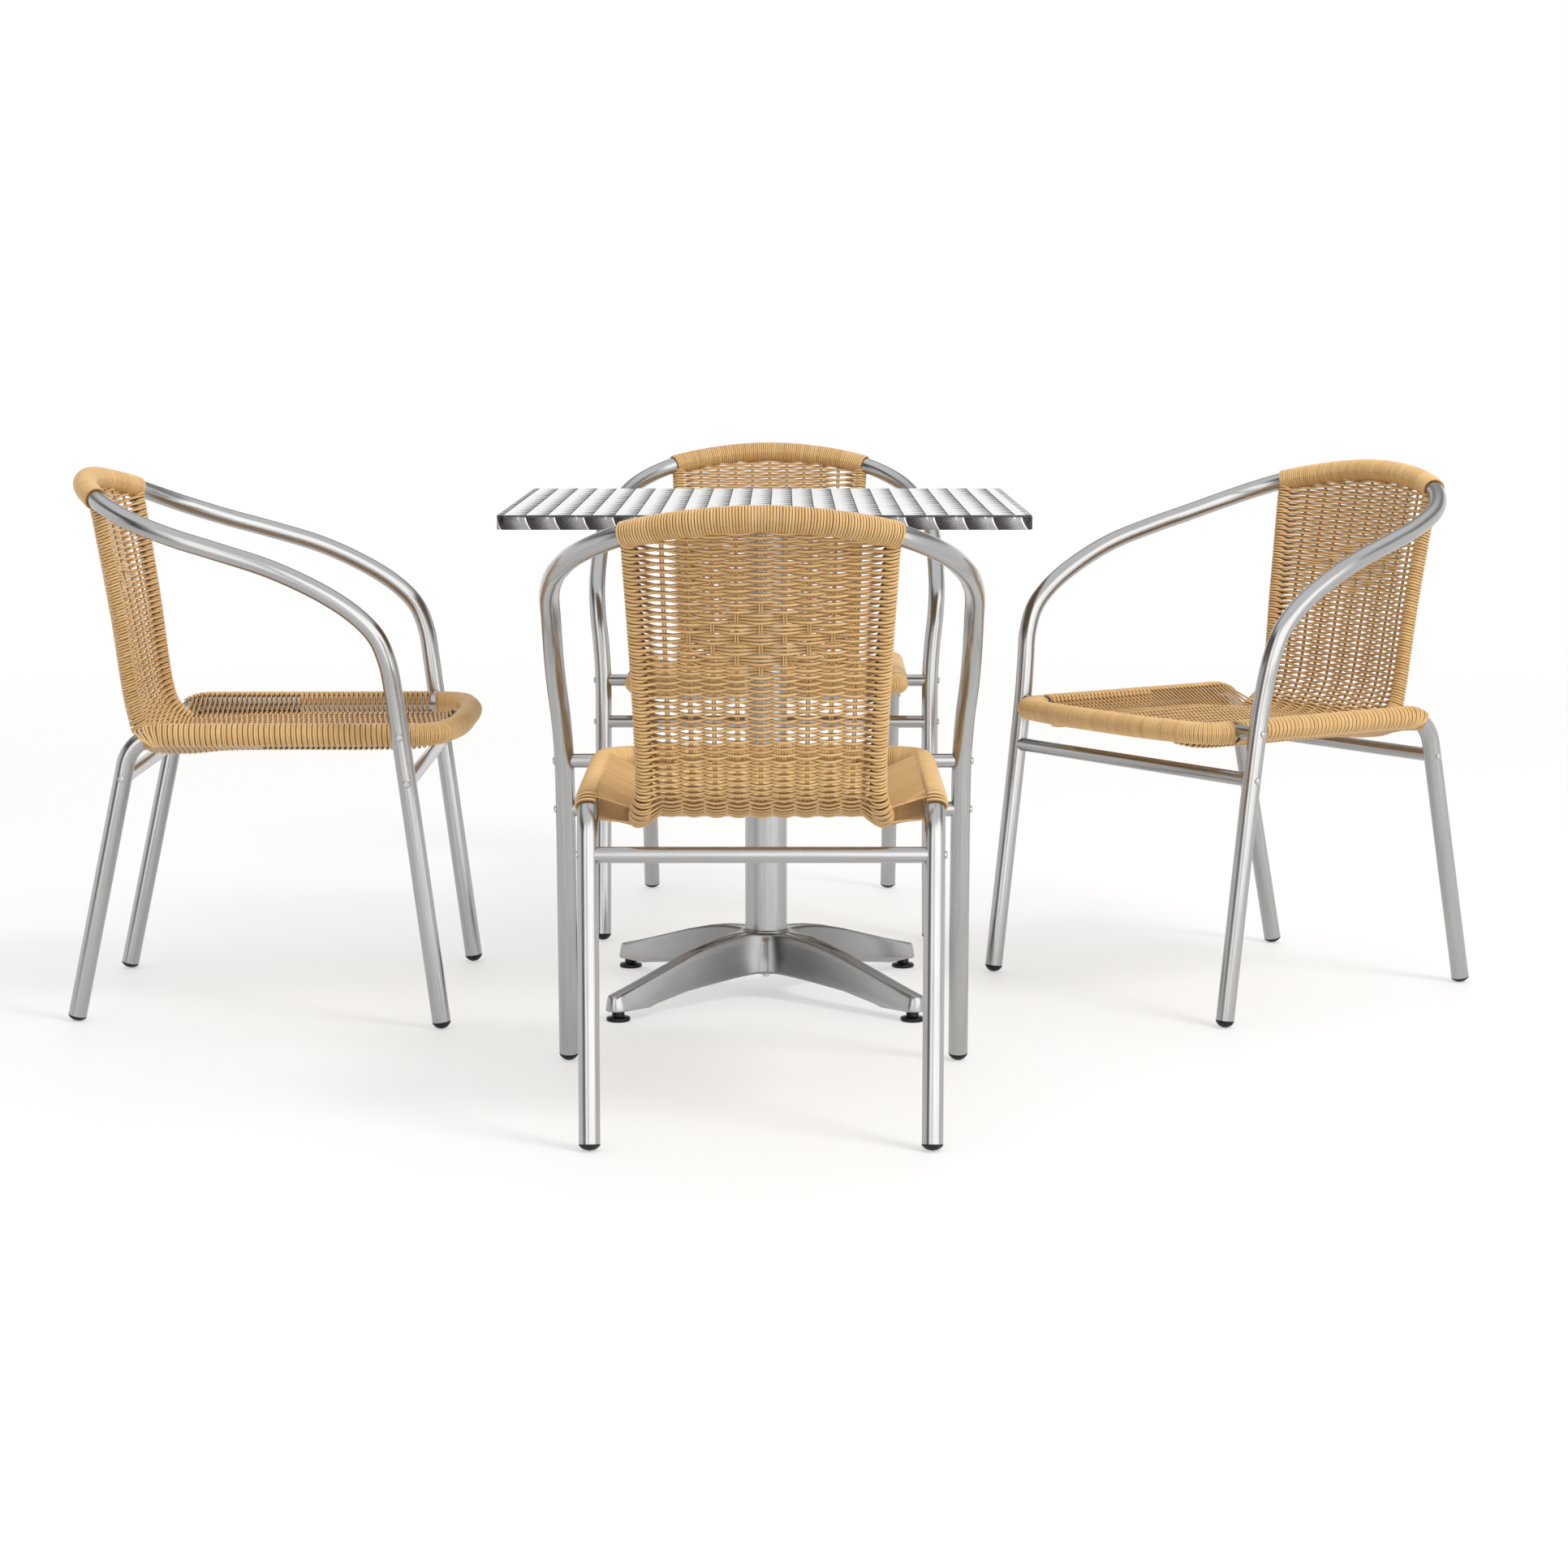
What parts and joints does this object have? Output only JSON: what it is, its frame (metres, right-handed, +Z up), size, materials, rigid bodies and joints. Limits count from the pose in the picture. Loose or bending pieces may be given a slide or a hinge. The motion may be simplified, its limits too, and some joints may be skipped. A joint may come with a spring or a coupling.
{
  "type": "patio dining set",
  "caption": "Square metal pedestal table with tubular aluminium armchairs whose backs and seats are woven from rattan-look strands, for outdoor dining.",
  "frame": {"origin": "on the floor, under the middle of the whole set's bounding box; the table's column stands at x -0.0307 m, y 0.0145 m", "axes": "+Z up, out of the table top; the table's edges run along X and Y; -Y is the side of chair_near"},
  "size_m": [1.9689, 1.9156, 0.7415],
  "materials": {
    "aluminium_tube": "satin polished, with fine lengthwise draw lines",
    "rattan": "semi-matt extruded strand, honey tan, a little uneven",
    "dark_steel_rod": "black powder coat",
    "black_cap": "moulded, matt",
    "swirl_metal_top": "polished in overlapping swirls",
    "board_core": "raw particle board",
    "column_tube": "satin, with fine lengthwise draw lines",
    "cast_aluminium": "satin cast",
    "zinc_steel": "zinc plated",
    "black_pad": "moulded, slightly glossy"
  },
  "bodies": {
    "table": {"table_top_shell": "swirl_metal_top", "table_top_core": "board_core", "top_spider": "cast_aluminium", "column": "column_tube", "base_casting": "cast_aluminium", "tie_rod": "zinc_steel", "tie_rod_washer": "zinc_steel", "tie_rod_nut": "zinc_steel"},
    "chair_near": {"chair_near_arm_frame": "aluminium_tube", "chair_near_seat_frame": "aluminium_tube", "chair_near_front_stretcher": "aluminium_tube", "chair_near_rear_stretcher": "aluminium_tube", "chair_near_sling_frame": "dark_steel_rod", "chair_near_back_weave": "rattan", "chair_near_seat_weave": "rattan", "chair_near_front_left_foot_cap": "black_cap", "chair_near_front_right_foot_cap": "black_cap", "chair_near_rear_left_foot_cap": "black_cap", "chair_near_rear_right_foot_cap": "black_cap"},
    "chair_far": {"chair_far_arm_frame": "aluminium_tube", "chair_far_seat_frame": "aluminium_tube", "chair_far_front_stretcher": "aluminium_tube", "chair_far_rear_stretcher": "aluminium_tube", "chair_far_sling_frame": "dark_steel_rod", "chair_far_back_weave": "rattan", "chair_far_seat_weave": "rattan", "chair_far_front_left_foot_cap": "black_cap", "chair_far_front_right_foot_cap": "black_cap", "chair_far_rear_left_foot_cap": "black_cap", "chair_far_rear_right_foot_cap": "black_cap"},
    "chair_left": {"chair_left_arm_frame": "aluminium_tube", "chair_left_seat_frame": "aluminium_tube", "chair_left_front_stretcher": "aluminium_tube", "chair_left_rear_stretcher": "aluminium_tube", "chair_left_sling_frame": "dark_steel_rod", "chair_left_back_weave": "rattan", "chair_left_seat_weave": "rattan", "chair_left_front_left_foot_cap": "black_cap", "chair_left_front_right_foot_cap": "black_cap", "chair_left_rear_left_foot_cap": "black_cap", "chair_left_rear_right_foot_cap": "black_cap"},
    "chair_right": {"chair_right_arm_frame": "aluminium_tube", "chair_right_seat_frame": "aluminium_tube", "chair_right_front_stretcher": "aluminium_tube", "chair_right_rear_stretcher": "aluminium_tube", "chair_right_sling_frame": "dark_steel_rod", "chair_right_back_weave": "rattan", "chair_right_seat_weave": "rattan", "chair_right_front_left_foot_cap": "black_cap", "chair_right_front_right_foot_cap": "black_cap", "chair_right_rear_left_foot_cap": "black_cap", "chair_right_rear_right_foot_cap": "black_cap"},
    "glide_1_screw": {"glide_1_stud": "zinc_steel"},
    "glide_1_foot": {"glide_1_pad": "black_pad"},
    "glide_2_screw": {"glide_2_stud": "zinc_steel"},
    "glide_2_foot": {"glide_2_pad": "black_pad"},
    "glide_3_screw": {"glide_3_stud": "zinc_steel"},
    "glide_3_foot": {"glide_3_pad": "black_pad"},
    "glide_4_screw": {"glide_4_stud": "zinc_steel"},
    "glide_4_foot": {"glide_4_pad": "black_pad"}
  },
  "joints": [
    {"name": "chair_near_slide", "type": "slide", "parent": "table", "child": "chair_near", "axis": [0, -1, 0], "range_m": [-0.12, 0.45]},
    {"name": "chair_far_slide", "type": "slide", "parent": "table", "child": "chair_far", "axis": [0.007, 1, 0], "range_m": [-0.12, 0.45]},
    {"name": "chair_left_slide", "type": "slide", "parent": "table", "child": "chair_left", "axis": [-1, 0, 0], "range_m": [-0.12, 0.45]},
    {"name": "chair_right_slide", "type": "slide", "parent": "table", "child": "chair_right", "axis": [0.8192, 0.5736, 0], "range_m": [-0.12, 0.45]},
    {"name": "glide_1_height", "type": "slide", "parent": "table", "child": "glide_1_screw", "axis": [0, 0, 1], "range_m": [-0.01, 0]},
    {"name": "glide_1_turn", "type": "hinge", "parent": "glide_1_screw", "child": "glide_1_foot", "pos_m": [-0.2317, -0.1865, 0.006], "axis": [0, 0, 1], "range_deg": [0, 2880]},
    {"name": "glide_2_height", "type": "slide", "parent": "table", "child": "glide_2_screw", "axis": [0, 0, 1], "range_m": [-0.01, 0]},
    {"name": "glide_2_turn", "type": "hinge", "parent": "glide_2_screw", "child": "glide_2_foot", "pos_m": [0.1703, -0.1865, 0.006], "axis": [0, 0, 1], "range_deg": [0, 2880]},
    {"name": "glide_3_height", "type": "slide", "parent": "table", "child": "glide_3_screw", "axis": [0, 0, 1], "range_m": [-0.01, 0]},
    {"name": "glide_3_turn", "type": "hinge", "parent": "glide_3_screw", "child": "glide_3_foot", "pos_m": [0.1703, 0.2155, 0.006], "axis": [0, 0, 1], "range_deg": [0, 2880]},
    {"name": "glide_4_height", "type": "slide", "parent": "table", "child": "glide_4_screw", "axis": [0, 0, 1], "range_m": [-0.01, 0]},
    {"name": "glide_4_turn", "type": "hinge", "parent": "glide_4_screw", "child": "glide_4_foot", "pos_m": [-0.2317, 0.2155, 0.006], "axis": [0, 0, 1], "range_deg": [0, 2880]}
  ],
  "couplings": [
    {"joint": "glide_1_height", "follows": "glide_1_turn", "m_per_rad": -0.00019894},
    {"joint": "glide_2_height", "follows": "glide_2_turn", "m_per_rad": -0.00019894},
    {"joint": "glide_3_height", "follows": "glide_3_turn", "m_per_rad": -0.00019894},
    {"joint": "glide_4_height", "follows": "glide_4_turn", "m_per_rad": -0.00019894}
  ]
}
